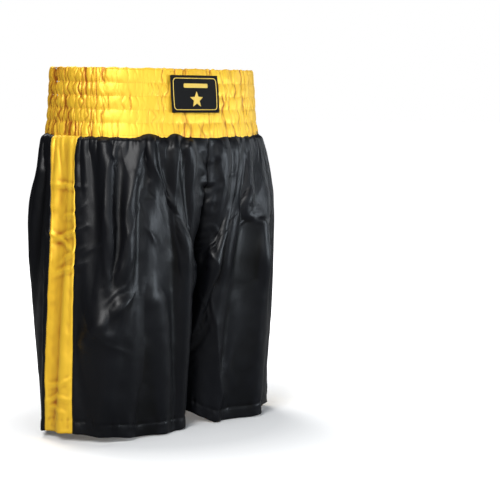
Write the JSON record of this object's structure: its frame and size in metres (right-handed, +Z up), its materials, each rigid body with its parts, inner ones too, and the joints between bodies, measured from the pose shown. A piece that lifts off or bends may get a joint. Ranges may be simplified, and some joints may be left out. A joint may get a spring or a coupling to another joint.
{
  "type": "boxing shorts",
  "caption": "Satin boxing shorts with a wide shirred elastic waistband, contrasting side stripes, turned hems and a woven front patch.",
  "frame": {"origin": "on the floor under the middle of the shorts' width and depth, with both hems standing on the floor", "axes": "+Z up to the waist, -Y the front of the shorts, +X the wearer's left"},
  "size_m": [0.418, 0.2746, 0.563],
  "materials": {
    "black_satin": "soft satin sheen",
    "gold_satin": "satin sheen",
    "elastic": "matt woven elastic",
    "gold_thread": "matt thread",
    "black_thread": "matt thread",
    "white_tag": "smooth woven tag"
  },
  "bodies": {
    "shorts": {"front_panel_right": "black_satin", "front_panel_left": "black_satin", "back_panel_right": "black_satin", "back_panel_left": "black_satin", "patch_backing": "black_satin", "side_stripe_right": "gold_satin", "side_stripe_left": "gold_satin", "waistband_casing": "gold_satin", "patch_border": "gold_satin", "patch_bar": "gold_satin", "patch_star": "gold_satin", "elastic_tape_1": "elastic", "elastic_tape_2": "elastic", "elastic_tape_3": "elastic", "elastic_tape_4": "elastic", "elastic_tape_5": "elastic", "waist_seam_stitch": "gold_thread", "waistband_stitch_1": "gold_thread", "waistband_stitch_2": "gold_thread", "waistband_stitch_3": "gold_thread", "waistband_stitch_4": "gold_thread", "hem_stitch_right": "black_thread", "hem_stitch_left": "black_thread"},
    "label": {"size_label": "white_tag"}
  },
  "joints": [
    {"name": "size_label_flap", "type": "hinge", "parent": "shorts", "child": "label", "pos_m": [0, 0.11376, 0.55496], "axis": [-1, 0, 0], "range_deg": [0, 150]}
  ]
}
